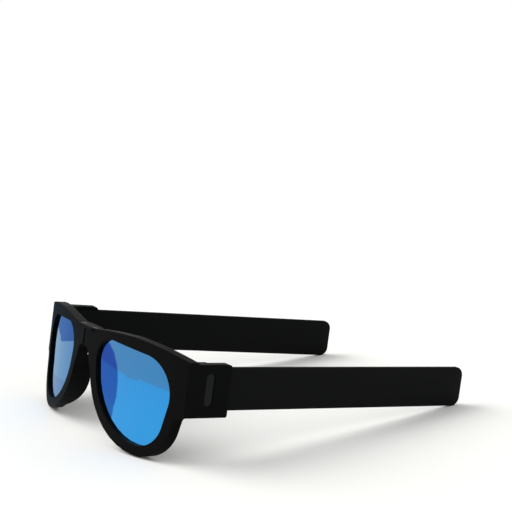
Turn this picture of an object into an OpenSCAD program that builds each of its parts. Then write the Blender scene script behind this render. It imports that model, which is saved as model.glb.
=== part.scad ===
// Folding sunglasses with a hinged bridge and two coiling bands for arms.
// Drawn level first, with the rims' lowest points at z = 0, the bridge's face at y = 0
// and the bands running back along +Y. The wearer's left is +X. stand() then tips the
// whole pair back until the band tips rest on the floor too.

/* [Front] */
// Width across the front, over the two sleeves
front_w = 145; // [138:1:152]
// Depth of the front, from its face to its back
front_t = 4.6; // [4.2:0.1:5.4]
// Radius of each half's wrap, seen from above
wrap_r = 250; // [230:5:290]
// How far past the middle the wrap of a half is centred
wrap_off = 20; // [14:1:26]
// Height of the brow at its highest
brow_z = 53.2; // [52.4:0.2:55]
// Where the brow is highest, out from the middle
brow_x = 38; // [34:1:42]
// Height of the brow at the outer corners
corner_z = 48.7; // [48.2:0.1:50]

/* [Bridge] */
// Height of the bridge's flat top
bridge_top = 50.8; // [50:0.2:52]
// Height of the bridge's underside
bridge_low = 41.3; // [40:0.1:42.4]
// Half the width of the flat top
bridge_flat = 9; // [8.8:0.1:10]
// Half the width of the nose arch, at its top
nose_half = 5.5; // [5:0.1:6]
// Corner radius of the nose arch
nose_r = 4; // [3:0.1:4.8]
// Gap between the two halves
seam = 0.5; // [0.4:0.05:0.8]
// How far back the thick part of the bridge reaches
bulge_y = 6.3; // [6:0.1:7]

/* [Lenses] */
// Width of the lens opening
lens_w = 51.2; // [50:0.1:52]
// Height of the lens opening
lens_h = 43.7; // [42:0.1:44]
// Middle of the lens opening, out from the nose
lens_x = 38.2; // [38:0.1:38.8]
// Width of the rim round the opening
rim_w = 4.8; // [4.2:0.1:5]
// Corner radius of the opening, top and nose side
lens_r_nose = 11.2; // [10:0.1:12]
// Corner radius of the opening, top and temple side
lens_r_temple = 17; // [15:0.5:18]
// Corner radius of the opening, bottom and temple side
lens_r_low = 15; // [13:0.5:16]
// Radius of the opening's long curve, from the nose side round to the bottom
lens_r_cheek = 34; // [32:0.5:36]
// How much lower the opening is at its temple end
lens_slope = 1.5; // [0.5:0.1:2.5]
// Thickness of a lens
lens_t = 2; // [1.6:0.1:2.2]
// How deep the lens sits behind the front's face
lens_in = 1.5; // [1.2:0.1:1.8]
// How far the lens reaches into its groove
lens_lip = 0.9; // [0.6:0.1:1.1]

/* [Nose pads] */
// How far a nose pad stands out behind the front's back
pad_deep = 6; // [4:0.5:7]
// Middle of a pad, out from the nose
pad_x = 16; // [14:0.5:18]
// Height of a pad's middle
pad_z = 17; // [15:0.5:20]
// Radius of the pad's rounded back
pad_r = 40; // [34:1:44]
// Thickness of a pad's wall
pad_wall = 3.2; // [2.6:0.1:3.4]

/* [Bridge hinge] */
// Distance of a hinge pin from the middle
pin_x = 6.2; // [5.8:0.1:6.4]
// Depth of a hinge pin behind the bridge's face
pin_y = 2.4; // [2.3:0.05:2.6]
// Radius of a hinge pin
pin_r = 0.8; // [0.6:0.05:0.9]
// Radius of a pin's head
head_r = 1.35; // [1.2:0.05:1.5]
// Thickness of a pin's head
head_t = 0.6; // [0.5:0.05:0.7]
// Length of a pin under the link
pin_deep = 7; // [5:0.5:8]
// Thickness of the link that joins the halves
link_t = 1.5; // [1.3:0.1:1.8]
// Running clearance between a pin and the link
pin_fit = 0.05; // [0.03:0.01:0.08]
// Radius of the screw that locks a pin
screw_r = 0.5; // [0.4:0.05:0.6]
// Radius of that screw's head
screw_head_r = 0.9; // [0.75:0.05:1]
// Depth of the screw below the bridge's top
screw_drop = 3.1; // [3.1:0.1:4]

/* [Sleeves] */
// Height of a sleeve's underside
sleeve_z0 = 23.6; // [22:0.2:24.4]
// Height of a sleeve's top
sleeve_z1 = 48; // [47.4:0.1:48.2]
// Thickness of a sleeve's outer wall
wall_out = 1.6; // [1.3:0.1:2]
// Thickness of a sleeve's inner wall
wall_in = 1.3; // [1:0.1:1.5]
// Length of a sleeve's outer, top and bottom walls
sleeve_len = 23.4; // [22:0.2:25]
// Rounding of its upper rear corner
sleeve_r_top = 2; // [1:0.1:2.4]
// Rounding of its lower rear corner
sleeve_r_low = 1; // [0.6:0.1:2]
// Length over which a sleeve keeps its band straight
box_len = 18.4; // [17.6:0.2:19]
// Length of its inner wall
inner_len = 12; // [10:0.5:13]
// Depth of solid plastic in front of the socket
socket_start = 3; // [2:0.2:4]
// Length of the window in the outer wall
window_len = 15.6; // [13:0.2:17]
// Width of that window
window_w = 4.6; // [3.6:0.2:5]
// Middle of the window, back from the outer corner
window_v = 12.2; // [11:0.2:13]

/* [Bands] */
// How far each band turns in towards the other, in degrees
toe_in = 3.5; // [2:0.5:5]
// Height of a band
band_h = 20; // [18:0.5:21]
// Thickness of a band
band_t = 2.8; // [2.6:0.1:3]
// Height of a band's underside
band_z0 = 26.3; // [26:0.1:26.6]
// Length of one bending stretch of a band
step_len = 15; // [13:0.5:15]
// Number of bending stretches
steps = 10; // [8:1:10]
// Corner radius of a band's tip
tip_r = 4.5; // [3:0.5:7]
// Height of the spring strip inside a band
strip_h = 15; // [12:0.5:16]
// Thickness of the spring strip
strip_t = 0.3; // [0.2:0.05:0.35]
// Radius of the strip's bow, across its height
strip_bow = 60; // [50:5:90]
// Solid rubber past the strip's end, at the tip
tip_solid = 6; // [5:0.5:8]
// Clearance between parts that are pressed or slid together
fit = 0.1; // [0.05:0.01:0.15]

/* [Hidden] */
$fn = 96;
fine = 360;
far = 80;
slack = 1;
tuck = 0.02;
half_w = front_w / 2;
wrap_y = sqrt(wrap_r * wrap_r - wrap_off * wrap_off);
corner_y = face_y(half_w);

// The lens opening as circles, each [x, z, radius], anticlockwise seen from the front.
// The low ones run close together along the long curve; the others are its temple and
// nose corners.
lens_right = lens_x + lens_w / 2;
lens_left = lens_x - lens_w / 2;
lens_top = rim_w + lens_h;
CHEEK = [lens_left + lens_r_cheek, rim_w + lens_r_cheek, lens_r_cheek];
LENS = [
    for (a = [200:8.75:270]) [CHEEK.x + (CHEEK.z - lens_r_low) * cos(a),
                            CHEEK.y + (CHEEK.z - lens_r_low) * sin(a), lens_r_low],
    [lens_right - lens_r_temple, lens_top - lens_slope - lens_r_temple, lens_r_temple],
    [lens_left + lens_r_nose, lens_top - lens_r_nose, lens_r_nose]
];
LOW = LENS[8];
TEMPLE = LENS[9];

// Where the side of the nose gap runs into the rim
cheek_turn = 21;
gap_deep = 0.85;
nose_end = [CHEEK.x - (CHEEK.z + rim_w * gap_deep) * cos(cheek_turn),
            CHEEK.y - (CHEEK.z + rim_w * gap_deep) * sin(cheek_turn)];

// Hinge link, its recess and the pins
link_r = pin_y;
recess_r = link_r + fit;
link_z0 = bridge_top - link_t;
recess_z = link_z0 - fit / 2;
screw_z = bridge_top - screw_drop;
head_space = 0.1;
bulge_flat = 6;
brow_slope = 0.02;
pad_z0 = 41.5;
pad_z1 = 49;

// Sleeve and band, across the thickness: 0 is the sleeve's outer face, minus is inwards
band_out = -(wall_out + fit);
band_in = band_out - band_t;
box_in = band_in - fit - wall_in;
band_z1 = band_z0 + band_h;
band_mid = band_z0 + band_h / 2;
first_v = box_len + 0.4;
strip_sag = strip_bow - sqrt(strip_bow * strip_bow - strip_h * strip_h / 4);
slot_t = strip_sag + strip_t + fit;
slot_in = band_in + (band_t - slot_t) / 2;
corner_fillet = 4;

// Resting attitude: the floor touches a rim's back edge and the round of a band's tip
rest_y = back_y(LOW.x);
tip_y = corner_y + cos(toe_in) * (first_v + steps * step_len - tip_r);
tip_z = band_z0 + tip_r;
tip_reach = norm([tip_y - rest_y, tip_z]);
rest_pitch = atan2(tip_z, tip_y - rest_y) - asin(tip_r / tip_reach);
front_x = CHEEK.x - (CHEEK.z + rim_w) * cos(45);
front_z = CHEEK.y - (CHEEK.z + rim_w) * sin(45);
front_end = face_y(front_x) * cos(rest_pitch) + front_z * sin(rest_pitch);
back_end = tip_y * cos(rest_pitch) + (band_z1 - tip_r) * sin(rest_pitch) + tip_r;
origin_y = (front_end + back_end) / 2;

SIDES = ["left", "right"];

// Depth of the front's face and of its back, x out from the middle
function face_y(x) = wrap_y - sqrt(wrap_r * wrap_r - pow(x + wrap_off, 2));
function back_y(x) = wrap_y - sqrt(pow(wrap_r - front_t, 2) - pow(x + wrap_off, 2));

// A circle as [x, z, radius] with slope m at point p, that also passes through point q
function arc_through(p, q, m) =
    let (n = [m, -1] / norm([m, -1]), r = (q - p) * (q - p) / (2 * (q - p) * n))
    [p.x + r * n.x, p.y + r * n.y, r];

// The two ends of the outer tangent from circle a to circle b
function tangent(a, b) =
    let (d = [b.x - a.x, b.y - a.y], dr = a.z - b.z, h = sqrt(d * d - dr * dr),
         n = [d.y * h + d.x * dr, d.y * dr - d.x * h] / (d * d))
    [[a.x, a.y] + a.z * n, [b.x, b.y] + b.z * n];

// Turns a drawing in the x-z plane into a solid from depth y0 to depth y1
module along_y(y0, y1) translate([0, y1, 0]) rotate([90, 0, 0]) linear_extrude(y1 - y0) children();

// Turns a drawing in the v-z plane into a solid across the thickness, u0 to u1
module along_u(u0, u1) translate([u0, 0, 0]) rotate([90, 0, 90]) linear_extrude(u1 - u0) children();

// A round shape that wraps circles of [x, z, radius], each made larger by grow.
// Its straight sides are tucked a hair inside the circles, so that they cross cleanly.
module wrapped(circles, grow = 0) {
    inner = [for (c = circles) [c.x, c.y, c.z + grow - tuck]];
    count = len(inner);
    polygon([for (i = [0:count - 1]) each tangent(inner[i], inner[(i + 1) % count])]);
    for (c = inner) translate([c.x, c.y]) circle(r = c.z + tuck);
}

// A slot shape with round ends, standing on end
module stadium(width, length) {
    reach = (length - width) / 2;
    square([width, 2 * reach], center = true);
    for (end = [-1, 1]) translate([0, end * reach]) circle(d = width);
}

// The curved layer of a half between two depths behind its face
module wrap_layer(d0, d1) translate([-wrap_off, wrap_y, -slack]) difference() {
    cylinder(r = wrap_r - d0, h = far, $fn = fine);
    translate([0, 0, -slack]) cylinder(r = wrap_r - d1, h = far + 2 * slack, $fn = fine);
}

// Places things at the outer corner: u across the sleeve, v back along it
module at_corner() translate([half_w, corner_y, 0]) rotate([0, 0, toe_in]) children();

// Tips the level pair back to where it rests, with the origin under its middle
module stand() {
    translate([0, -origin_y, rest_y * sin(rest_pitch)]) rotate([-rest_pitch, 0, 0]) children();
}

// Draws the left one, or its mirror image on the right
module on_side(side) stand() mirror([side == "right" ? 1 : 0, 0, 0]) children();

// Everything under the brow line
module under_brow() {
    peak = [brow_x, brow_z];
    square([bridge_flat + 4, bridge_top]);
    intersection() {
        disc_at(arc_through(peak, [bridge_flat, bridge_top], brow_slope));
        disc_at(arc_through(peak, [half_w, corner_z], -brow_slope));
        square([half_w, far]);
    }
}

module disc_at(c) translate([c.x, c.y]) circle(r = c.z, $fn = fine);

// The nose gap on this side of the middle
module nose_gap() {
    arch_z = bridge_low - nose_r;
    translate([nose_half - nose_r, arch_z]) circle(r = nose_r + tuck);
    translate([-slack, arch_z - slack]) square([nose_half - nose_r + slack, nose_r + slack]);
    polygon([[-slack, arch_z], [nose_half, arch_z], nose_end, [nose_end.x, -slack], [-slack, -slack]]);
}

// The small web where the rim runs into the sleeve's underside
module corner_web() {
    low_r = LOW.z + rim_w;
    side = tangent([LOW.x, LOW.y, low_r], [TEMPLE.x, TEMPLE.y, TEMPLE.z + rim_w])[0];
    out = (side - [LOW.x, LOW.y]) / low_r;
    web_z = sleeve_z0 - corner_fillet;
    web_x = (corner_fillet + out * side - out.y * web_z) / out.x;
    difference() {
        polygon([[LOW.x, sleeve_z0 + slack], [web_x, sleeve_z0 + slack], [web_x, sleeve_z0],
                 [web_x, web_z], [LOW.x, LOW.y]]);
        translate([web_x, web_z]) circle(r = corner_fillet + tuck);
    }
}

// One half of the front, seen from the front, with no lens opening
module half_outline() {
    intersection() {
        under_brow();
        union() {
            difference() {
                polygon([[seam / 2, nose_end.y], [seam / 2, far], [half_w, far],
                         [half_w, sleeve_z0 + slack], [LOW.x, sleeve_z0 + slack], [LOW.x, nose_end.y]]);
                nose_gap();
            }
            wrapped(LENS, rim_w);
        }
    }
    intersection() {
        corner_web();
        square([half_w, far]);
    }
}

// The pad beside the nose: a piece of the rim's edge that stands out behind it
module nose_pad() {
    pad_end = back_y(pad_x) + pad_deep;
    intersection() {
        along_y(0, pad_end + slack) difference() {
            wrapped(LENS, rim_w - fit);
            wrapped(LENS, rim_w - fit - pad_wall);
        }
        wrap_layer(front_t - slack, far / 2);
        translate([pad_x, pad_end - pad_r, pad_z]) sphere(r = pad_r, $fn = fine);
    }
}

// Everything on the inner side of the sleeve's outer face
module inside_corner() at_corner() translate([-2 * far - tuck, -far, -slack])
    cube([2 * far, 2 * far, far]);

// A sleeve seen from its side, with its two rear corners rounded
module sleeve_side() difference() {
    translate([0, sleeve_z0]) square([sleeve_len, sleeve_z1 - sleeve_z0]);
    translate([sleeve_len - sleeve_r_top, sleeve_z1 - sleeve_r_top]) difference() {
        square(sleeve_r_top + slack);
        circle(r = sleeve_r_top + tuck);
    }
    translate([sleeve_len - sleeve_r_low, sleeve_z0 + sleeve_r_low]) difference() {
        translate([0, -sleeve_r_low - slack]) square(sleeve_r_low + slack);
        circle(r = sleeve_r_low + tuck);
    }
}

module sleeve_shell() intersection() {
    at_corner() {
        translate([box_in, -socket_start, sleeve_z0])
            cube([-box_in, inner_len + socket_start, sleeve_z1 - sleeve_z0]);
        along_u(band_in, 0) sleeve_side();
    }
    translate([-wrap_off, wrap_y, -slack]) cylinder(r = wrap_r, h = far, $fn = fine);
}

module socket_cut() at_corner() {
    translate([band_in - fit, socket_start, band_z0 - fit])
        cube([band_t + 2 * fit, sleeve_len, band_h + 2 * fit]);
    along_u(-wall_out - slack, slack) translate([window_v, band_mid])
        stadium(window_w, window_len);
}

// The thick part of the bridge, behind the link
module bridge_bulge() intersection() {
    along_y(0, bulge_y) half_outline();
    linear_extrude(far) polygon([[seam / 2, pin_y], [seam / 2, bulge_y], [bulge_flat, bulge_y],
        [bridge_flat, front_t], [bridge_flat, pin_y]]);
}

// The small pad that meets its twin when the glasses are open
module stop_pad() translate([fit / 5, pin_y + 0.6, pad_z0])
    cube([seam, bulge_y - pin_y - 0.9, pad_z1 - pad_z0]);

// Room for the link as it swings, and for the pin under it
module link_recess() {
    translate([0, 0, recess_z]) {
        translate([pin_x, pin_y, 0]) cylinder(r = recess_r, h = far);
        translate([-slack, -slack, 0]) cube([pin_x + slack, pin_y + recess_r + slack, far]);
        translate([pin_x - recess_r, -slack, 0]) cube([2 * recess_r, pin_y + slack, far]);
    }
    translate([pin_x, pin_y, recess_z - pin_deep]) cylinder(r = pin_r + fit / 5, h = far);
}

// The end of a half is round about its pin, in front of the pin, so that it can swing
module end_round() translate([0, 0, -slack]) difference() {
    translate([-slack, -slack, 0]) cube([pin_x + slack, pin_y + slack, far]);
    translate([pin_x, pin_y, -slack]) cylinder(r = pin_x - seam / 2, h = far + 2 * slack);
}

module screw_hole() translate([pin_x, bulge_y, screw_z]) rotate([90, 0, 0]) {
    translate([0, 0, -slack]) cylinder(r = screw_head_r + fit, h = slack + 0.5);
    cylinder(r = screw_r + fit / 5, h = bulge_y - pin_y);
}

module frame_half() color([0.06, 0.06, 0.065]) difference() {
    union() {
        intersection() {
            along_y(-slack, far) half_outline();
            wrap_layer(0, front_t);
            inside_corner();
        }
        sleeve_shell();
        bridge_bulge();
        stop_pad();
        nose_pad();
    }
    along_y(-slack, far / 2) wrapped(LENS);
    intersection() {
        along_y(-slack, far) wrapped(LENS, lens_lip + fit);
        wrap_layer(lens_in - fit / 2, lens_in + lens_t + fit / 2);
    }
    socket_cut();
    link_recess();
    end_round();
    screw_hole();
}

module lens() color([0.16, 0.42, 0.85]) intersection() {
    along_y(-slack, far) wrapped(LENS, lens_lip);
    wrap_layer(lens_in, lens_in + lens_t);
}

module link() color([0.08, 0.08, 0.085]) difference() {
    translate([0, 0, link_z0]) {
        for (x = [-pin_x, pin_x]) translate([x, pin_y, 0]) cylinder(r = link_r, h = link_t);
        translate([-pin_x, pin_y - link_r, 0]) cube([2 * pin_x, 2 * link_r, link_t]);
    }
    for (x = [-pin_x, pin_x]) translate([x, pin_y, link_z0]) {
        translate([0, 0, -slack]) cylinder(r = pin_r + pin_fit, h = 2 * slack + link_t);
        translate([0, 0, link_t - head_t - head_space]) cylinder(r = head_r + fit, h = link_t);
    }
}

module hinge_pin() color([0.7, 0.7, 0.72]) translate([pin_x, pin_y, 0]) {
    translate([0, 0, recess_z - pin_deep])
        cylinder(r = pin_r, h = bridge_top - recess_z + pin_deep - slack / 10);
    translate([0, 0, bridge_top - head_t - slack / 20]) cylinder(r = head_r, h = head_t);
}

module pin_screw() color([0.6, 0.6, 0.62]) translate([pin_x, bulge_y, screw_z])
    rotate([90, 0, 0]) difference() {
        union() {
            translate([0, 0, 0.1]) cylinder(r = screw_head_r, h = 0.4);
            translate([0, 0, 0.1]) cylinder(r = screw_r, h = bulge_y - pin_y - pin_r - 0.15);
        }
        translate([-0.125, -screw_head_r - slack, -slack]) cube([0.25, 2 * (screw_head_r + slack), slack + 0.3]);
    }

// Cross-section of the spring strip: bowed across its height, hollow side outwards
module strip_section() intersection() {
    translate([slot_in + fit / 2 + strip_bow, band_mid]) difference() {
        circle(r = strip_bow, $fn = fine);
        circle(r = strip_bow - strip_t, $fn = fine);
    }
    translate([slot_in, band_mid - strip_h / 2]) square([slot_t, strip_h]);
}

module slot_section() translate([slot_in, band_mid - strip_h / 2 - fit])
    square([slot_t, strip_h + 2 * fit]);

// The root of a band, inside the sleeve, with the boss that fills the window
module band_root() color([0.07, 0.07, 0.075]) at_corner() difference() {
    union() {
        translate([band_in, socket_start + fit, band_z0])
            cube([band_t, first_v - socket_start - fit, band_h]);
        along_u(band_out - slack / 10, -0.3) translate([window_v, band_mid])
            stadium(window_w - 2 * fit, window_len - 2 * fit);
    }
    along_y(socket_start + 2 - fit, first_v + slack) slot_section();
}

module root_spring() color([0.75, 0.76, 0.78]) at_corner()
    along_y(socket_start + 2, first_v) strip_section();

// One bending stretch of the band's rubber; the last one carries the rounded tip
module band_step(k) {
    v0 = first_v + (k - 1) * step_len;
    last = k == steps;
    color([0.07, 0.07, 0.075]) at_corner() difference() {
        if (last) along_u(band_in, band_out) {
            translate([v0, band_z0]) square([step_len - tip_r, band_h]);
            translate([v0, band_z0 + tip_r]) square([step_len, band_h - 2 * tip_r]);
            for (z = [band_z0 + tip_r, band_z1 - tip_r])
                translate([v0 + step_len - tip_r, z]) circle(r = tip_r);
        }
        else translate([band_in, v0, band_z0]) cube([band_t, step_len, band_h]);
        along_y(v0 - slack, last ? v0 + step_len - tip_solid + fit : v0 + step_len + slack)
            slot_section();
    }
}

module spring_step(k) {
    v0 = first_v + (k - 1) * step_len;
    v1 = k == steps ? v0 + step_len - tip_solid : v0 + step_len;
    color([0.75, 0.76, 0.78]) at_corner() along_y(v0, v1) strip_section();
}

stand() link();  // hinge_link
for (s = SIDES) {
    on_side(s) frame_half();
    on_side(s) lens();
    on_side(s) hinge_pin();
    on_side(s) pin_screw();
    on_side(s) band_root();
    on_side(s) root_spring();
    for (k = [1:steps]) {
        on_side(s) band_step(k);
        on_side(s) spring_step(k);
    }
}
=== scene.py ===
import logging
import math
from collections.abc import Callable, Iterable, Sequence
from dataclasses import dataclass, field
from enum import Enum

import bmesh
import bpy
from mathutils import Matrix, Vector


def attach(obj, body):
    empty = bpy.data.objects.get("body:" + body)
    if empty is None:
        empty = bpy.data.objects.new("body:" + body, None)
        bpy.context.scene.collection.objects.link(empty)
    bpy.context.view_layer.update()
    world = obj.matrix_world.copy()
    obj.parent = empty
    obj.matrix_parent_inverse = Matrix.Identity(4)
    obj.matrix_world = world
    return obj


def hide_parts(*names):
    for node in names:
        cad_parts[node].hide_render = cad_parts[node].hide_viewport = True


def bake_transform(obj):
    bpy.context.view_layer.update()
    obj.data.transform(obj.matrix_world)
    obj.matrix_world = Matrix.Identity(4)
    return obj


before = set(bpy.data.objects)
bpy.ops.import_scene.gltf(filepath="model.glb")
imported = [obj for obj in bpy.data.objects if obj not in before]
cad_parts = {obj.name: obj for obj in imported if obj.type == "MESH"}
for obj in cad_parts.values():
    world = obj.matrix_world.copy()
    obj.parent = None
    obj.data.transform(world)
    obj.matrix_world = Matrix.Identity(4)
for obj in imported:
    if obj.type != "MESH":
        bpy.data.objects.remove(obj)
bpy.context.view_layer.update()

log = logging.getLogger("sunglasses")
MM = 0.001
Point = tuple[float, float, float]
Circle = tuple[float, float, float]
Colour = tuple[float, float, float]
Range = tuple[float, float]
NOISE_MEAN = 0.5


class Side(Enum):
    """Which half of the glasses a piece belongs to, as the wearer sees it."""

    LEFT = "left"
    RIGHT = "right"

    @property
    def sign(self) -> float:
        """+1 on the wearer's left, which is +X, and -1 on the right."""
        return 1.0 if self is Side.LEFT else -1.0

    def body(self, step: int) -> str:
        """The moving body of a band's stretch, or the front half for step 0."""
        return f"{self.value}_band_{step}" if step else f"{self.value}_front"


@dataclass(frozen=True)
class Sizes:
    """Sizes of the glasses in millimetres, as in the part's source."""

    front_w: float = 145
    wrap_r: float = 250
    wrap_off: float = 20
    lens_w: float = 51.2
    lens_h: float = 43.7
    lens_x: float = 38.2
    rim_w: float = 4.8
    lens_r_nose: float = 11.2
    lens_r_temple: float = 17
    lens_r_low: float = 15
    lens_r_cheek: float = 34
    lens_turn_first: float = 200
    lens_turn_step: float = 8.75
    lens_turns: int = 9
    lens_slope: float = 1.5
    lens_t: float = 2
    lens_in: float = 1.5
    lens_lip: float = 0.9
    wall_out: float = 1.6
    fit: float = 0.1
    box_len: float = 18.4
    bend_gap: float = 0.4
    socket_start: float = 3
    window_len: float = 15.6
    window_w: float = 4.6
    window_v: float = 12.2
    toe_in: float = 3.5
    band_h: float = 20
    band_t: float = 2.8
    band_z0: float = 26.3
    step_len: float = 15
    steps: int = 10
    tip_r: float = 4.5
    strip_h: float = 15
    strip_t: float = 0.3
    strip_bow: float = 60
    tip_solid: float = 6

    @property
    def wrap_y(self) -> float:
        """Depth of the axis that each half's front wraps around."""
        return math.sqrt(self.wrap_r**2 - self.wrap_off**2)

    def face_y(self, x: float, behind: float = 0) -> float:
        """Depth of the front's curved face, or of a layer behind it.

        Args:
            x: Distance out from the middle.
            behind: How far behind the face the layer lies.

        Returns:
            The depth at x.
        """
        return self.wrap_y - math.sqrt((self.wrap_r - behind) ** 2 - (x + self.wrap_off) ** 2)

    @property
    def corner_y(self) -> float:
        """Depth of the outer corner, where a sleeve starts."""
        return self.face_y(self.front_w / 2)

    @property
    def band_out(self) -> float:
        """A band's outer face, measured inwards from the sleeve's outer face."""
        return -(self.wall_out + self.fit)

    @property
    def band_in(self) -> float:
        """A band's inner face, measured the same way."""
        return self.band_out - self.band_t

    @property
    def band_mid(self) -> float:
        """Height of a band's middle."""
        return self.band_z0 + self.band_h / 2

    @property
    def first_v(self) -> float:
        """Where a band starts to bend, back from the outer corner."""
        return self.box_len + self.bend_gap

    @property
    def last_v(self) -> float:
        """Where a band's tip ends, back from the outer corner."""
        return self.first_v + self.steps * self.step_len

    @property
    def lens_circles(self) -> list[Circle]:
        """The lens opening, as the circles that its outline rolls round anticlockwise.

        Returns:
            Each circle's x, z and radius.
        """
        right, left = self.lens_x + self.lens_w / 2, self.lens_x - self.lens_w / 2
        top = self.rim_w + self.lens_h
        inner = self.lens_r_cheek - self.lens_r_low
        cheek_x, cheek_z = left + self.lens_r_cheek, self.rim_w + self.lens_r_cheek
        turns = [math.radians(self.lens_turn_first + self.lens_turn_step * i)
                 for i in range(self.lens_turns)]
        low = [(cheek_x + inner * math.cos(a), cheek_z + inner * math.sin(a)) for a in turns]
        return [
            *((x, z, self.lens_r_low) for x, z in low),
            (right - self.lens_r_temple, top - self.lens_slope - self.lens_r_temple,
             self.lens_r_temple),
            (left + self.lens_r_nose, top - self.lens_r_nose, self.lens_r_nose),
        ]


SIZE = Sizes()


@dataclass(frozen=True)
class Rest:
    """How the level pair is tipped back onto its two band tips."""

    pitch: float = math.radians(8.883001)
    origin_y: float = 96.865833
    lift: float = 2.008808

    def matrix(self, side: Side) -> Matrix:
        """Takes level millimetres to the row frame's metres.

        Args:
            side: The half, whose right-hand one is mirrored.

        Returns:
            The 4 by 4 matrix.
        """
        place = Matrix.Translation((0, -self.origin_y, self.lift))
        tip = Matrix.Rotation(-self.pitch, 4, "X")
        mirror = Matrix.Diagonal((side.sign, 1, 1, 1))
        return Matrix.Scale(MM, 4) @ place @ tip @ mirror

    def band_matrix(self, side: Side) -> Matrix:
        """Takes a band's own axes, across, along and up, to the row frame."""
        corner = Matrix.Translation((SIZE.front_w / 2, SIZE.corner_y, 0))
        return self.matrix(side) @ corner @ Matrix.Rotation(math.radians(SIZE.toe_in), 4, "Z")

    def band_point(self, side: Side, v: float) -> Point:
        """A point of the row frame on a band's inner face, v along it."""
        return tuple(self.band_matrix(side) @ Vector((SIZE.band_in, v, SIZE.band_mid)))


REST = Rest()


class Sock:
    """A shader socket that takes part in Python expressions."""

    def __init__(self, shader: "Shader", socket: bpy.types.NodeSocket) -> None:
        """Keeps the socket and the shader that it belongs to."""
        self.shader = shader
        self.socket = socket

    def _math(self, kind: str, *values: "Sock | float") -> "Sock":
        """Adds a Math node of a kind, fed by the values in order."""
        return self.shader.node("ShaderNodeMath", {"operation": kind}, dict(enumerate(values)))

    def __add__(self, other: "Sock | float") -> "Sock":
        """This socket plus another."""
        return self._math("ADD", self, other)

    __radd__ = __add__

    def __sub__(self, other: "Sock | float") -> "Sock":
        """This socket minus another."""
        return self._math("SUBTRACT", self, other)

    def __rsub__(self, other: "Sock | float") -> "Sock":
        """Another minus this socket."""
        return self._math("SUBTRACT", other, self)

    def __mul__(self, other: "Sock | float") -> "Sock":
        """This socket times another."""
        return self._math("MULTIPLY", self, other)

    __rmul__ = __mul__

    def part(self, name: str) -> "Sock":
        """Another output of this socket's node."""
        return Sock(self.shader, self.socket.node.outputs[name])

    def step(self, low: float, high: float) -> "Sock":
        """A smooth rise from 0 at low to 1 at high."""
        return self.shader.node("ShaderNodeMapRange", {"interpolation_type": "SMOOTHSTEP"},
                                {"Value": self, "From Min": low, "From Max": high})


class Shader:
    """A material under construction.

    The MIX numbers are the places of a Mix node's colour sockets, whose names repeat.
    """

    MIX_FACTOR, MIX_LOW, MIX_HIGH, MIX_COLOUR = 0, 6, 7, 2

    def __init__(self, name: str) -> None:
        """Starts a material with one Principled BSDF.

        Args:
            name: The material's name.
        """
        self.material = bpy.data.materials.new(name)
        self.material.use_nodes = True
        self.tree = self.material.node_tree
        self.tree.nodes.clear()
        self.output = self.tree.nodes.new("ShaderNodeOutputMaterial")
        self.bsdf = self.tree.nodes.new("ShaderNodeBsdfPrincipled")
        self.tree.links.new(self.bsdf.outputs[0], self.output.inputs["Surface"])

    def feed(self, socket: bpy.types.NodeSocket, value: object) -> None:
        """Links or sets one socket.

        Args:
            socket: The input that takes the value.
            value: A Sock to link, or a number, colour or vector to set.
        """
        if isinstance(value, Sock):
            self.tree.links.new(value.socket, socket)
        else:
            socket.default_value = value

    def node(self, kind: str, settings: dict | None = None, inputs: dict | None = None) -> Sock:
        """Adds a node.

        Args:
            kind: The node's type.
            settings: Its properties, set first.
            inputs: Its sockets' values or links, by name or number.

        Returns:
            The node's first enabled output.
        """
        node = self.tree.nodes.new(kind)
        for key, value in (settings or {}).items():
            setattr(node, key, value)
        for key, value in (inputs or {}).items():
            self.feed(node.inputs[key], value)
        return Sock(self, next(out for out in node.outputs if out.enabled))

    def set(self, **values: object) -> None:
        """Sets or links the BSDF's sockets, named with _ for each space."""
        for key, value in values.items():
            self.feed(self.bsdf.inputs[key.replace("_", " ")], value)

    @property
    def place(self) -> Sock:
        """Object coordinates, in metres of the row frame."""
        return self.node("ShaderNodeTexCoord").part("Object")

    def axes(self, vector: Sock) -> tuple[Sock, Sock, Sock]:
        """The three numbers of a vector."""
        split = self.node("ShaderNodeSeparateXYZ", {}, {0: vector})
        return split.part("X"), split.part("Y"), split.part("Z")

    def noise(self, where: Sock, per_metre: float, detail: float = 2, rough: float = 0.5) -> Sock:
        """Noise around NOISE_MEAN at a scale in waves per metre."""
        return self.node("ShaderNodeTexNoise", {}, {"Vector": where, "Scale": per_metre,
                                                    "Detail": detail, "Roughness": rough})

    def mix(self, factor: Sock | float, low: Colour, high: Colour) -> Sock:
        """A colour between two colours.

        Args:
            factor: How far it is from the first to the second, 0 to 1.
            low: The colour at 0.
            high: The colour at 1.

        Returns:
            The mixed colour.
        """
        node = self.tree.nodes.new("ShaderNodeMix")
        node.data_type = "RGBA"
        self.feed(node.inputs[self.MIX_FACTOR], factor)
        self.feed(node.inputs[self.MIX_LOW], (*low, 1))
        self.feed(node.inputs[self.MIX_HIGH], (*high, 1))
        return Sock(self, node.outputs[self.MIX_COLOUR])

    def bump(self, height: Sock, depth: float, strength: float,
             normal: Sock | None = None) -> Sock:
        """A bump of a real depth.

        Args:
            height: The pattern that stands up, 0 to 1.
            depth: How high it stands, in metres.
            strength: How much of the bump shows, 0 to 1.
            normal: The normal that it starts from, or None for the surface's own.

        Returns:
            The bumped normal.
        """
        inputs = {"Height": height, "Distance": depth, "Strength": strength}
        if normal:
            inputs["Normal"] = normal
        return self.node("ShaderNodeBump", {}, inputs)


def shaded(colour: Colour, gain: float) -> Colour:
    """A colour with each of its numbers times a gain."""
    return tuple(gain * c for c in colour)


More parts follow.
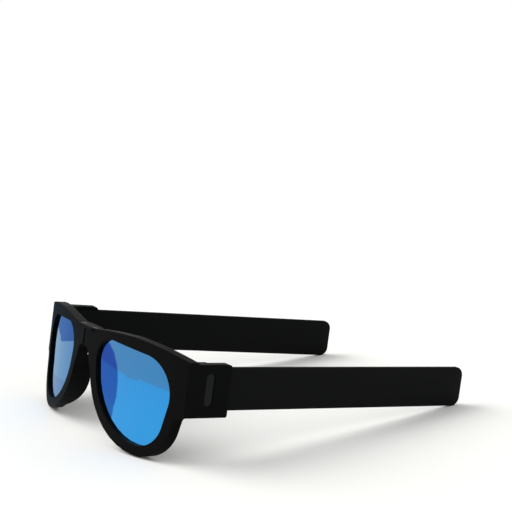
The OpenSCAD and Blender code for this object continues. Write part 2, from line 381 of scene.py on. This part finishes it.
@dataclass(frozen=True)
class SoftTouchBlack:
    """Black plastic under a soft matte paint, with mould-soft edges.

    Here and in the other finishes, scales are in waves per metre and depths in metres. A
    range is where a pattern starts and ends in its noise, a gain or shade is what it
    multiplies the colour by, and rough is what it adds to the roughness.
    """

    name: str = "soft_touch_black"
    colour: Colour = (0.0014, 0.0018, 0.0016)
    roughness: float = 0.55
    gloss: float = 0.04
    edge: float = 0.0005
    edge_samples: int = 8
    grain_scale: float = 2600
    grain_rough: float = 0.06
    grain_depth: float = 0.000012
    grain_strength: float = 0.5
    rub_scale: float = 55
    rub_range: Range = (0.42, 0.68)
    rub_gain: float = 1.5
    rub_rough: float = 0.08

    def make(self) -> bpy.types.Material:
        """Builds the material.

        Returns:
            The paint, finely grained and rubbed in patches.
        """
        s = Shader(self.name)
        grain = s.noise(s.place, self.grain_scale, detail=2, rough=0.6)
        rub = s.noise(s.place, self.rub_scale, detail=3, rough=0.55).step(*self.rub_range)
        soft = s.node("ShaderNodeBevel", {"samples": self.edge_samples}, {"Radius": self.edge})
        s.set(
            Base_Color=s.mix(rub, self.colour, shaded(self.colour, self.rub_gain)),
            Roughness=(self.roughness + self.rub_rough * rub
                       + self.grain_rough * (grain - NOISE_MEAN)),
            Specular_IOR_Level=self.gloss,
            Normal=s.bump(grain, self.grain_depth, self.grain_strength, soft),
        )
        return s.material


@dataclass(frozen=True)
class SiliconeBlack:
    """Smooth matte silicone, a little dusty, with a very low sheen."""

    name: str = "silicone_black"
    colour: Colour = (0.0026, 0.0033, 0.0030)
    roughness: float = 0.6
    gloss: float = 0.06
    fine_scale: float = 1900
    fine_share: float = 0.04
    wave_scale: float = 38
    wave_rough: float = 0.1
    wave_depth: float = 0.00022
    wave_strength: float = 0.45
    dust_scale: float = 420
    dust_range: Range = (0.6, 0.82)
    dust_gain: float = 2.2
    dust_rough: float = 0.08

    def make(self) -> bpy.types.Material:
        """Builds the material.

        Returns:
            The silicone, gently waved and specked with dust.
        """
        s = Shader(self.name)
        fine = s.noise(s.place, self.fine_scale, detail=2, rough=0.6)
        wave = s.noise(s.place, self.wave_scale, detail=2, rough=0.5)
        dust = s.noise(s.place, self.dust_scale, detail=4, rough=0.7).step(*self.dust_range)
        s.set(
            Base_Color=s.mix(dust, self.colour, shaded(self.colour, self.dust_gain)),
            Roughness=(self.roughness + self.wave_rough * (wave - NOISE_MEAN)
                       + self.dust_rough * dust),
            Specular_IOR_Level=self.gloss,
            Normal=s.bump(wave + self.fine_share * fine, self.wave_depth, self.wave_strength),
        )
        return s.material


@dataclass(frozen=True)
class MirrorBlue:
    """A blue flash mirror on a grey lens, whose colour deepens towards the brow.

    Its fade is the two heights, in metres, between which the colour changes.
    """

    name: str = "mirror_blue"
    low: Colour = (0.004, 0.29, 0.72)
    high: Colour = (0.006, 0.26, 0.68)
    fade: Range = (0.012, 0.044)
    roughness: float = 0.035
    lacquer: float = 0.6
    lacquer_roughness: float = 0.02
    haze_scale: float = 90
    haze_rough: float = 0.015
    haze_depth: float = 0.00002
    haze_strength: float = 0.2

    def make(self) -> bpy.types.Material:
        """Builds the material.

        Returns:
            The mirror, under its clear lacquer.
        """
        s = Shader(self.name)
        where = s.place
        _, _, z = s.axes(where)
        haze = s.noise(where, self.haze_scale, detail=2, rough=0.5)
        s.set(
            Base_Color=s.mix(z.step(*self.fade), self.low, self.high),
            Metallic=1.0,
            Roughness=self.roughness + self.haze_rough * haze,
            Coat_Weight=self.lacquer,
            Coat_Roughness=self.lacquer_roughness,
            Normal=s.bump(haze, self.haze_depth, self.haze_strength),
        )
        return s.material


@dataclass(frozen=True)
class GreyTint:
    """The grey tint on a lens's inner side, with faint wipe marks."""

    name: str = "grey_tint"
    colour: Colour = (0.010, 0.011, 0.013)
    roughness: float = 0.09
    gloss: float = 0.4
    wipe_scale: float = 130
    wipe_range: Range = (0.45, 0.75)
    wipe_gain: float = 1.6
    wipe_rough: float = 0.05
    wipe_depth: float = 0.00002
    wipe_strength: float = 0.2

    def make(self) -> bpy.types.Material:
        """Builds the material.

        Returns:
            The tint, with its wipe marks.
        """
        s = Shader(self.name)
        wipe = s.noise(s.place, self.wipe_scale, detail=3, rough=0.6)
        s.set(
            Base_Color=s.mix(wipe.step(*self.wipe_range), self.colour,
                             shaded(self.colour, self.wipe_gain)),
            Roughness=self.roughness + self.wipe_rough * wipe,
            Specular_IOR_Level=self.gloss,
            Normal=s.bump(wipe, self.wipe_depth, self.wipe_strength),
        )
        return s.material


@dataclass(frozen=True)
class Steel:
    """Steel with fine lines, drawn along the strip or even on small turned parts."""

    name: str
    colour: Colour = (0.62, 0.63, 0.65)
    roughness: float = 0.3
    stretch: Point = (1, 40, 1)
    line_scale: float = 900
    line_shade: float = 0.8
    line_rough: float = 0.15
    line_depth: float = 0.000008
    line_strength: float = 0.4

    def make(self) -> bpy.types.Material:
        """Builds the material.

        Returns:
            The steel, with its lines.
        """
        s = Shader(self.name)
        scaled = s.node("ShaderNodeMapping", {}, {"Vector": s.place, "Scale": self.stretch})
        lines = s.noise(scaled, self.line_scale, detail=3, rough=0.6)
        s.set(
            Base_Color=s.mix(lines, shaded(self.colour, self.line_shade), self.colour),
            Metallic=1.0,
            Roughness=self.roughness + self.line_rough * (lines - NOISE_MEAN),
            Normal=s.bump(lines, self.line_depth, self.line_strength),
        )
        return s.material


class Finish(Enum):
    """The finishes of the glasses, each built once."""

    FRAME = SoftTouchBlack()
    BAND = SiliconeBlack()
    # The boss wears the band's silicone painted lighter: painted light on the boss inside the
    # sleeve's window, whose walls shade it.
    BOSS_PAINTED_LIGHT = SiliconeBlack("boss_silicone_painted_light", (0.0125, 0.0152, 0.0144))
    LENS = MirrorBlue()
    LENS_BACK = GreyTint()
    SPRING = Steel("cold_rolled_strip")
    PIN = Steel("blackened_pin", (0.03, 0.0305, 0.032), 0.45, (8, 8, 1))
    SCREW = Steel("dark_screw", (0.13, 0.13, 0.14), 0.38, (6, 6, 6))

    @property
    def material(self) -> bpy.types.Material:
        """The material, made on first use."""
        return bpy.data.materials.get(self.value.name) or self.value.make()

    def dress(self, *objects: bpy.types.Object) -> None:
        """Puts the finish on objects, in place of what they wore.

        Args:
            *objects: The pieces or carried solids.
        """
        for obj in objects:
            obj.data.materials.clear()
            obj.data.materials.append(self.material)


class Bench:
    """The modelling moves that every piece shares.

    Sizes are millimetres until settle takes a piece to the row frame's metres.
    """

    WELD = 1e-6

    @staticmethod
    def clear() -> None:
        """Deselects every object."""
        if bpy.context.object and bpy.context.object.mode != "OBJECT":
            bpy.ops.object.mode_set(mode="OBJECT")
        bpy.ops.object.select_all(action="DESELECT")

    @classmethod
    def block(cls, name: str, low: Point, high: Point) -> bpy.types.Object:
        """Adds a block between two corners.

        Args:
            name: The piece's name.
            low: Its lowest corner.
            high: Its highest corner.

        Returns:
            The block, with its place in its mesh.
        """
        cls.clear()
        middle = [(a + b) / 2 for a, b in zip(low, high)]
        size = [b - a for a, b in zip(low, high)]
        bpy.ops.mesh.primitive_cube_add(size=1, location=middle, scale=size)
        bpy.ops.object.transform_apply(location=True, rotation=True, scale=True)
        obj = bpy.context.object
        obj.name = obj.data.name = name
        return obj

    @classmethod
    def pick_edges(cls, obj: bpy.types.Object, wanted: Callable[[Vector, Vector], bool]) -> None:
        """Enters edit mode with the wanted edges selected.

        Args:
            obj: The piece.
            wanted: Tells from an edge's two ends whether it is picked.
        """
        cls.clear()
        obj.select_set(True)
        bpy.context.view_layer.objects.active = obj
        bpy.ops.object.mode_set(mode="EDIT")
        bpy.ops.mesh.select_mode(type="EDGE")
        bpy.ops.mesh.select_all(action="DESELECT")
        mesh = bmesh.from_edit_mesh(obj.data)
        for edge in mesh.edges:
            edge.select = wanted(edge.verts[0].co, edge.verts[1].co)
        mesh.select_flush_mode()
        bmesh.update_edit_mesh(obj.data)

    @classmethod
    def round_edges(cls, obj: bpy.types.Object, radius: float, segments: int,
                    wanted: Callable[[Vector, Vector], bool]) -> None:
        """Rounds the wanted edges of a piece.

        Args:
            obj: The piece.
            radius: How far the rounding reaches from each edge.
            segments: How many flats make it up.
            wanted: Tells from an edge's two ends whether it is rounded.
        """
        cls.pick_edges(obj, wanted)
        bpy.ops.mesh.bevel(offset=radius, segments=segments, profile=0.5, affect="EDGES")
        bpy.ops.object.mode_set(mode="OBJECT")

    @classmethod
    def pick_all(cls, obj: bpy.types.Object) -> None:
        """Enters edit mode with the whole piece selected."""
        cls.pick_edges(obj, lambda a, b: True)
        bpy.ops.mesh.select_all(action="SELECT")

    @classmethod
    def cut_loops(cls, obj: bpy.types.Object, normal: Point, places: Iterable[float]) -> None:
        """Cuts loops across a piece, so that it can bend.

        Args:
            obj: The piece.
            normal: The direction that the cuts face, along one axis.
            places: Where they lie along it.
        """
        for place in places:
            cls.pick_all(obj)
            bpy.ops.mesh.bisect(plane_co=[place * n for n in normal], plane_no=normal)
            bpy.ops.object.mode_set(mode="OBJECT")

    @classmethod
    def modify(cls, obj: bpy.types.Object, kind: str, **settings: object) -> None:
        """Adds a modifier and applies it.

        Args:
            obj: The piece.
            kind: The modifier's type.
            **settings: Its properties.
        """
        cls.clear()
        obj.select_set(True)
        bpy.context.view_layer.objects.active = obj
        modifier = obj.modifiers.new(kind.lower(), kind)
        for key, value in settings.items():
            setattr(modifier, key, value)
        bpy.ops.object.modifier_apply(modifier=modifier.name)

    @staticmethod
    def copy(obj: bpy.types.Object, name: str, move: Point) -> bpy.types.Object:
        """Copies a piece with a mesh of its own, moved.

        Args:
            obj: The piece.
            name: The copy's name.
            move: How far its mesh moves.

        Returns:
            The copy.
        """
        twin = obj.copy()
        twin.data = obj.data.copy()
        twin.name = twin.data.name = name
        bpy.context.scene.collection.objects.link(twin)
        twin.data.transform(Matrix.Translation(move))
        return twin

    @classmethod
    def settle(cls, obj: bpy.types.Object, matrix: Matrix, angle: float = 35) -> None:
        """Takes a piece from its own axes to the row frame, and smooths it.

        Args:
            obj: The piece.
            matrix: Where its mesh goes.
            angle: Edges sharper than this, in degrees, stay sharp.
        """
        obj.data.transform(matrix)
        cls.pick_all(obj)
        bpy.ops.mesh.remove_doubles(threshold=cls.WELD)
        bpy.ops.mesh.normals_make_consistent(inside=False)
        bpy.ops.object.mode_set(mode="OBJECT")
        bpy.ops.object.shade_smooth_by_angle(angle=math.radians(angle))


@dataclass
class Band:
    """One coiling band: a silicone skin and the sprung strip inside it.

    Each piece reaches from the middle of one stretch to the middle of the next, over
    the one joint between them.
    """

    side: Side
    edge: float = 0.7
    edge_steps: int = 4
    tip_steps: int = 10
    loops: int = 12
    boss_root: float = 0.4
    boss_sunk: float = 0.3
    boss_steps: int = 8
    boss_round: float = 0.35
    boss_round_steps: int = 3
    strip_start: float = 2
    strip_bends: int = 8
    long_edge: float = 1
    hair: float = 0.01

    def span(self, step: int) -> Range:
        """Where the piece over a joint lies along the band.

        Args:
            step: The joint, 1 at the sleeve.

        Returns:
            Where it starts and ends. The last piece's tip reaches further.
        """
        start = SIZE.first_v + (step - 1.5) * SIZE.step_len
        if step == 1:
            return SIZE.box_len, start + SIZE.step_len
        return start, start + SIZE.step_len

    def cuts(self, step: int) -> list[float]:
        """Where the loops across a piece lie."""
        start, end = self.span(step)
        return [start + (end - start) * i / self.loops for i in range(1, self.loops)]

    def skin_blank(self, name: str, low: float, high: float, tip: bool) -> bpy.types.Object:
        """A length of skin with its long edges rounded, not yet in place.

        Args:
            name: The piece's name.
            low: Where it starts along the band.
            high: Where it ends.
            tip: Whether it ends in the rounded tip.

        Returns:
            The piece in the band's own axes.
        """
        z0, z1 = SIZE.band_z0, SIZE.band_z0 + SIZE.band_h
        obj = Bench.block(name, (SIZE.band_in, low, z0), (SIZE.band_out, high, z1))
        if tip:
            Bench.round_edges(obj, SIZE.tip_r, self.tip_steps, lambda a, b: (
                min(a.y, b.y) > high - self.hair and abs(a.x - b.x) > self.long_edge))
            Bench.round_edges(obj, self.edge, self.edge_steps, lambda a, b: (
                abs(a.x - b.x) < self.hair and max(a.y, b.y) > low + self.hair))
        else:
            Bench.round_edges(obj, self.edge, self.edge_steps,
                              lambda a, b: abs(a.y - b.y) > self.long_edge)
        return obj

    def boss(self) -> bpy.types.Object:
        """Models the upright rounded boss that fills the sleeve's window.

        Returns:
            The boss in the band's own axes.
        """
        half_w = SIZE.window_w / 2 - SIZE.fit
        half_l = SIZE.window_len / 2 - SIZE.fit
        low = (SIZE.band_out - self.boss_root, SIZE.window_v - half_w, SIZE.band_mid - half_l)
        high = (-self.boss_sunk, SIZE.window_v + half_w, SIZE.band_mid + half_l)
        obj = Bench.block("boss", low, high)
        Bench.round_edges(obj, half_w - self.hair, self.boss_steps,
                          lambda a, b: abs(a.x - b.x) > self.long_edge)
        Bench.round_edges(obj, self.boss_round, self.boss_round_steps,
                          lambda a, b: min(a.x, b.x) > high[0] - self.hair)
        return obj

    def strip_blank(self, name: str, low: float, high: float) -> bpy.types.Object:
        """A length of spring strip, bowed across its height with the hollow outwards.

        Args:
            name: The piece's name.
            low: Where it starts along the band.
            high: Where it ends.

        Returns:
            The piece in the band's own axes.
        """
        def bow(rise: float) -> float:
            """How far the strip's section has bent at a height from its middle."""
            return SIZE.strip_bow - math.sqrt(SIZE.strip_bow**2 - rise**2)

        half = SIZE.strip_h / 2
        slot = bow(half) + SIZE.strip_t + SIZE.fit
        inner = SIZE.band_in + (SIZE.band_t - slot) / 2 + SIZE.fit / 2
        obj = Bench.block(name, (inner, low, SIZE.band_mid - half),
                          (inner + SIZE.strip_t, high, SIZE.band_mid + half))
        heights = [SIZE.band_mid + SIZE.strip_h * (i / self.strip_bends - 0.5)
                   for i in range(1, self.strip_bends)]
        Bench.cut_loops(obj, (0, 0, 1), heights)
        for vertex in obj.data.vertices:
            vertex.co.x += bow(vertex.co.z - SIZE.band_mid)
        return obj

    def dress_boss(self, obj: bpy.types.Object) -> None:
        """Gives the boss on a placed first piece the band's silicone painted lighter, as painted
        light in the sleeve's window.

        Args:
            obj: The skin's first piece, in the row frame.
        """
        obj.data.materials.append(Finish.BOSS_PAINTED_LIGHT.material)
        back = REST.band_matrix(self.side).inverted()
        for face in obj.data.polygons:
            face.material_index = int((back @ face.center).x > SIZE.band_out + SIZE.fit)

    def finish_piece(self, obj: bpy.types.Object, step: int, finish: Finish,
                     nodes: Sequence[str]) -> None:
        """Places a piece and dresses it.

        Args:
            obj: The piece, in the band's own axes.
            step: The joint that it bends over.
            finish: What it wears.
            nodes: The solids that it replaces.
        """
        start, end = self.span(step)
        Bench.settle(obj, REST.band_matrix(self.side))
        finish.dress(obj)
        if finish is Finish.BAND and step == 1:
            self.dress_boss(obj)
        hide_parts(*nodes)
        self.side.body(step - 1)
        self.side.body(step)
        REST.band_point(self.side, start)
        REST.band_point(self.side, end)
        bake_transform(obj)
        log.info("%s bends over joint %d and wears %s", obj.name, step, finish.value.name)

    def build(self) -> None:
        """Models the first, repeated and last pieces, and places them all."""
        name, steps = self.side.value, SIZE.steps
        skins, strips = {}, {}
        for step in (1, 2, steps):
            start, end = self.span(step)
            low = SIZE.socket_start + SIZE.fit if step == 1 else start
            high = SIZE.last_v if step == steps else end
            skins[step] = self.skin_blank(f"{name}_skin_{step}", low, high, step == steps)
            low = SIZE.socket_start + self.strip_start if step == 1 else start
            high = SIZE.last_v - SIZE.tip_solid if step == steps else end
            strips[step] = self.strip_blank(f"{name}_strip_{step}", low, high)
            if step == 1:
                boss = self.boss()
                Bench.modify(skins[1], "BOOLEAN", operation="UNION", object=boss, solver="EXACT")
                bpy.data.objects.remove(boss)
            for obj in (skins[step], strips[step]):
                Bench.cut_loops(obj, (0, 1, 0), self.cuts(step))
        for step in range(3, steps):
            move = (0, (step - 2) * SIZE.step_len, 0)
            skins[step] = Bench.copy(skins[2], f"{name}_skin_{step}", move)
            strips[step] = Bench.copy(strips[2], f"{name}_strip_{step}", move)
        for step in range(1, steps + 1):
            skin_nodes, strip_nodes = [f"{name}_band_{step}"], [f"{name}_spring_{step}"]
            if step == 1:
                skin_nodes.append(f"{name}_band_root")
                strip_nodes.append(f"{name}_root_spring")
            self.finish_piece(skins[step], step, Finish.BAND, skin_nodes)
            self.finish_piece(strips[step], step, Finish.SPRING, strip_nodes)


@dataclass
class Lens:
    """A wrapped mirrored lens in its groove."""

    side: Side
    around: int = 128
    rings: int = 14
    sharp: float = 40
    facing_back: float = 0.5

    def outline(self) -> list[tuple[float, float]]:
        """Goes around the opening and the lip that sits in the rim's groove.

        Returns:
            Points of x and z, at even turns of the outline's direction.
        """
        points = []
        for i in range(self.around):
            turn = 2 * math.pi * i / self.around
            nx, nz = math.cos(turn), math.sin(turn)
            x, z, r = max(SIZE.lens_circles, key=lambda c: c[0] * nx + c[1] * nz + c[2])
            points.append((x + (r + SIZE.lens_lip) * nx, z + (r + SIZE.lens_lip) * nz))
        return points

    def build(self) -> None:
        """Models the lens from a disc of rings, wraps it and gives it its thickness."""
        name = f"{self.side.value}_lens_mirror"
        Bench.clear()
        bpy.ops.mesh.primitive_circle_add(vertices=self.around, radius=1, fill_type="NGON")
        obj = bpy.context.object
        obj.name = obj.data.name = name
        bpy.ops.object.mode_set(mode="EDIT")
        bpy.ops.mesh.select_all(action="SELECT")
        for _ in range(self.rings - 1):
            bpy.ops.mesh.inset(thickness=1 / self.rings, depth=0)
        bpy.ops.mesh.poke()
        bpy.ops.object.mode_set(mode="OBJECT")
        points = self.outline()
        cx, cz = SIZE.lens_x, SIZE.rim_w + SIZE.lens_h / 2
        for vertex in obj.data.vertices:
            flat = vertex.co.xy
            turn = (math.atan2(flat.y, flat.x) % (2 * math.pi)) * self.around / (2 * math.pi)
            first = int(turn + 0.5) % self.around
            reach = min(flat.length, 1)
            x = cx + reach * (points[first][0] - cx)
            z = cz + reach * (points[first][1] - cz)
            vertex.co = (x, SIZE.face_y(x, SIZE.lens_in), z)
        Bench.modify(obj, "SOLIDIFY", thickness=SIZE.lens_t, offset=-1, use_even_offset=True)
        Bench.settle(obj, REST.matrix(self.side), self.sharp)
        Finish.LENS.dress(obj)
        obj.data.materials.append(Finish.LENS_BACK.material)
        for face in obj.data.polygons:
            face.material_index = int(face.normal.y > self.facing_back)
        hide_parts(f"{self.side.value}_lens")
        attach(obj, self.side.body(0))
        log.info("%s: %d faces", name, len(obj.data.polygons))


@dataclass
class Carried:
    """The solids that keep their own shape: front halves, link, pins and screws."""

    finishes: dict[str, Finish] = field(default_factory=lambda: {
        "frame": Finish.FRAME, "hinge_link": Finish.FRAME, "hinge_pin": Finish.PIN,
        "pin_screw": Finish.SCREW})

    def dress(self) -> None:
        """Gives each carried solid its finish."""
        for name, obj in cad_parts.items():
            for ending, finish in self.finishes.items():
                if name.endswith(ending):
                    finish.dress(obj)
                    log.info("%s wears %s", name, finish.value.name)


@dataclass
class PhotoCamera:
    """The camera at the photograph's viewing angle, as fitted to its corners."""

    place: Point = (0.6320, -0.3856, 0.2196)
    azimuth: float = 58.19
    elevation: float = 10.94
    lens: float = 105.38
    sensor: float = 36
    sight: float = 50

    def build(self) -> None:
        """Adds the camera and makes it the scene's."""
        data = bpy.data.cameras.new("photo_camera")
        data.lens, data.sensor_width, data.clip_end = self.lens, self.sensor, self.sight
        obj = bpy.data.objects.new("photo_camera", data)
        obj.location = self.place
        obj.rotation_euler = (math.radians(90 - self.elevation), 0, math.radians(self.azimuth))
        bpy.context.scene.collection.objects.link(obj)
        bpy.context.scene.camera = obj


@dataclass(frozen=True)
class Card:
    """A flat card beside the glasses that only their gloss can see.

    The cards stand in for what the photograph's lenses mirror.
    """

    name: str
    corners: tuple[Point, ...]
    colour: Colour
    strength: float = 1.0

    def build(self) -> None:
        """Adds the card."""
        Bench.clear()
        bpy.ops.mesh.primitive_circle_add(vertices=len(self.corners), radius=1, fill_type="NGON")
        obj = bpy.context.object
        obj.name = obj.data.name = self.name
        for vertex, corner in zip(obj.data.vertices, self.corners):
            vertex.co = corner
        s = Shader(self.name)
        s.set(Base_Color=(0, 0, 0, 1), Specular_IOR_Level=0.0, Emission_Color=(*self.colour, 1),
              Emission_Strength=self.strength)
        obj.data.materials.append(s.material)
        obj.visible_camera = obj.visible_diffuse = obj.visible_shadow = False


NEAR_Y = -0.25
FAR_X = -0.12
FLOOR_Z = 0.0004
# Edges that two cards share, so that no gap shows between them.
STRIP_EDGE = ((-0.1044, 0.0198), (-0.1078, 0.0229), (-0.12, 0.0291), (-0.1371, 0.0327),
              (-0.149, 0.045))
SKYLINE = ((-0.22, 0.0182), (-0.1845, 0.0182), (-0.1557, 0.0197), (-0.1305, 0.02))
FAR_EDGE = ((-0.14, 0.0275), (-0.1106, 0.025), (-0.0918, 0.0218), (-0.0838, 0.0204),
            (-0.0584, 0.0318), (-0.05, 0.05))


def near(*points: tuple[float, float]) -> tuple[Point, ...]:
    """Stands points of x and z on the upright plane of the near lens's cards."""
    return tuple((x, NEAR_Y, z) for x, z in points)


def far(*points: tuple[float, float]) -> tuple[Point, ...]:
    """Stands points of y and z on the upright plane of the far lens's cards."""
    return tuple((FAR_X, y, z) for y, z in points)


def flat(*points: tuple[float, float]) -> tuple[Point, ...]:
    """Lays points of x and y just above the floor."""
    return tuple((x, y, FLOOR_Z) for x, y in points)


CARDS = (
    Card("card_strip_high", near(*STRIP_EDGE, (-0.22, 0.045), *SKYLINE), (0.41, 0.25, 0.52)),
    Card("card_strip_low", near((-0.1002, 0.0), (-0.0982, 0.0043), (-0.0988, 0.0091),
                                (-0.1005, 0.0149), STRIP_EDGE[0], *SKYLINE[::-1], (-0.22, 0.0)),
         (0.45, 0.36, 0.62)),
    Card("card_strip_floor", flat((-0.1002, -0.25), (-0.0516, -0.1872), (-0.0149, -0.1407),
                                  (-0.0192, -0.1348), (-0.0423, -0.1531), (-0.22, -0.25)),
         (0.5, 0.4, 0.6)),
    Card("card_band", near(STRIP_EDGE[0], (-0.0759, 0.0208), (-0.0558, 0.0216), (-0.0283, 0.0218),
                           (0.04, 0.021), (0.04, 0.07), (-0.12, 0.07), *STRIP_EDGE[:0:-1]),
         (1.0, 0.60, 0.52), 1.4),
    Card("card_far_patch", far(*FAR_EDGE[4:], (-0.14, 0.05), *FAR_EDGE[:4]), (0.14, 0.26, 0.485)),
    Card("card_far", far((-0.14, 0.0), *FAR_EDGE, (0.0, 0.05), (0.0, 0.0)), (0.42, 0.58, 0.66)),
    Card("card_far_floor", flat((-0.12, -0.14), (-0.12, 0.0), (-0.055, 0.0), (-0.055, -0.14)),
         (0.40, 0.5, 0.6)),
)


@dataclass
class Studio:
    """A white floor, a white surround and one large soft lamp."""

    floor: float = 8.0
    floor_roughness: float = 0.9
    ambient: float = 0.68
    seen_level: float = 1.0
    sun: float = 2.0
    sun_size: float = math.radians(50)
    sun_way: Point = (0.95, 0.75, -1)
    under: float = 0.00005
    bounce: Colour = (0.8, 0.8, 0.8)
    seen_floor: Colour = (0.97, 0.97, 0.945)
    cards: tuple[Card, ...] = CARDS

    def seen(self, tree: bpy.types.NodeTree) -> bpy.types.NodeSocket:
        """Tells what the camera sees, also in gloss and through glass.

        Args:
            tree: The material's or the world's nodes.

        Returns:
            A factor that is 1 there and 0 for the light that falls on the object.
        """
        path = tree.nodes.new("ShaderNodeLightPath")
        last = path.outputs["Is Camera Ray"]
        for name in ("Is Glossy Ray", "Is Transmission Ray"):
            node = tree.nodes.new("ShaderNodeMath")
            node.operation = "MAXIMUM"
            tree.links.new(last, node.inputs[0])
            tree.links.new(path.outputs[name], node.inputs[1])
            last = node.outputs[0]
        return last

    def white(self) -> bpy.types.Material:
        """Makes the pale matte floor, which keeps the object's shadow.

        Returns:
            The floor's material.
        """
        s = Shader("studio_floor")
        s.set(Base_Color=s.mix(Sock(s, self.seen(s.tree)), self.bounce, self.seen_floor),
              Roughness=self.floor_roughness, Specular_IOR_Level=0.0)
        return s.material

    def surround(self) -> None:
        """Sets the world: white where it is seen, and soft light on the object."""
        world = bpy.data.worlds.new("studio")
        bpy.context.scene.world = world
        world.use_nodes = True
        tree = world.node_tree
        back = tree.nodes["Background"]
        back.inputs["Color"].default_value = (1, 1, 1, 1)
        level = tree.nodes.new("ShaderNodeMapRange")
        level.inputs["To Min"].default_value = self.ambient
        level.inputs["To Max"].default_value = self.seen_level
        tree.links.new(self.seen(tree), level.inputs["Value"])
        tree.links.new(level.outputs[0], back.inputs["Strength"])

    def build(self) -> None:
        """Adds the floor, the world, the lamp and the cards."""
        Bench.clear()
        bpy.ops.mesh.primitive_plane_add(size=self.floor, location=(0, 0, -self.under))
        floor = bpy.context.object
        floor.name = "studio_floor"
        floor.data.materials.append(self.white())
        self.surround()
        data = bpy.data.lights.new("soft_sun", "SUN")
        data.energy, data.angle = self.sun, self.sun_size
        lamp = bpy.data.objects.new("soft_sun", data)
        lamp.rotation_euler = Vector(self.sun_way).to_track_quat("-Z", "Y").to_euler()
        bpy.context.scene.collection.objects.link(lamp)
        for card in self.cards:
            card.build()


def main() -> None:
    """Builds the glasses and the studio around them."""
    logging.basicConfig(level=logging.INFO, format="%(name)s: %(message)s")
    bpy.context.scene.view_settings.view_transform = "Standard"
    PhotoCamera().build()
    for side in Side:
        Band(side).build()
        Lens(side).build()
    Carried().dress()
    Studio().build()


if __name__ == "__main__":
    main()
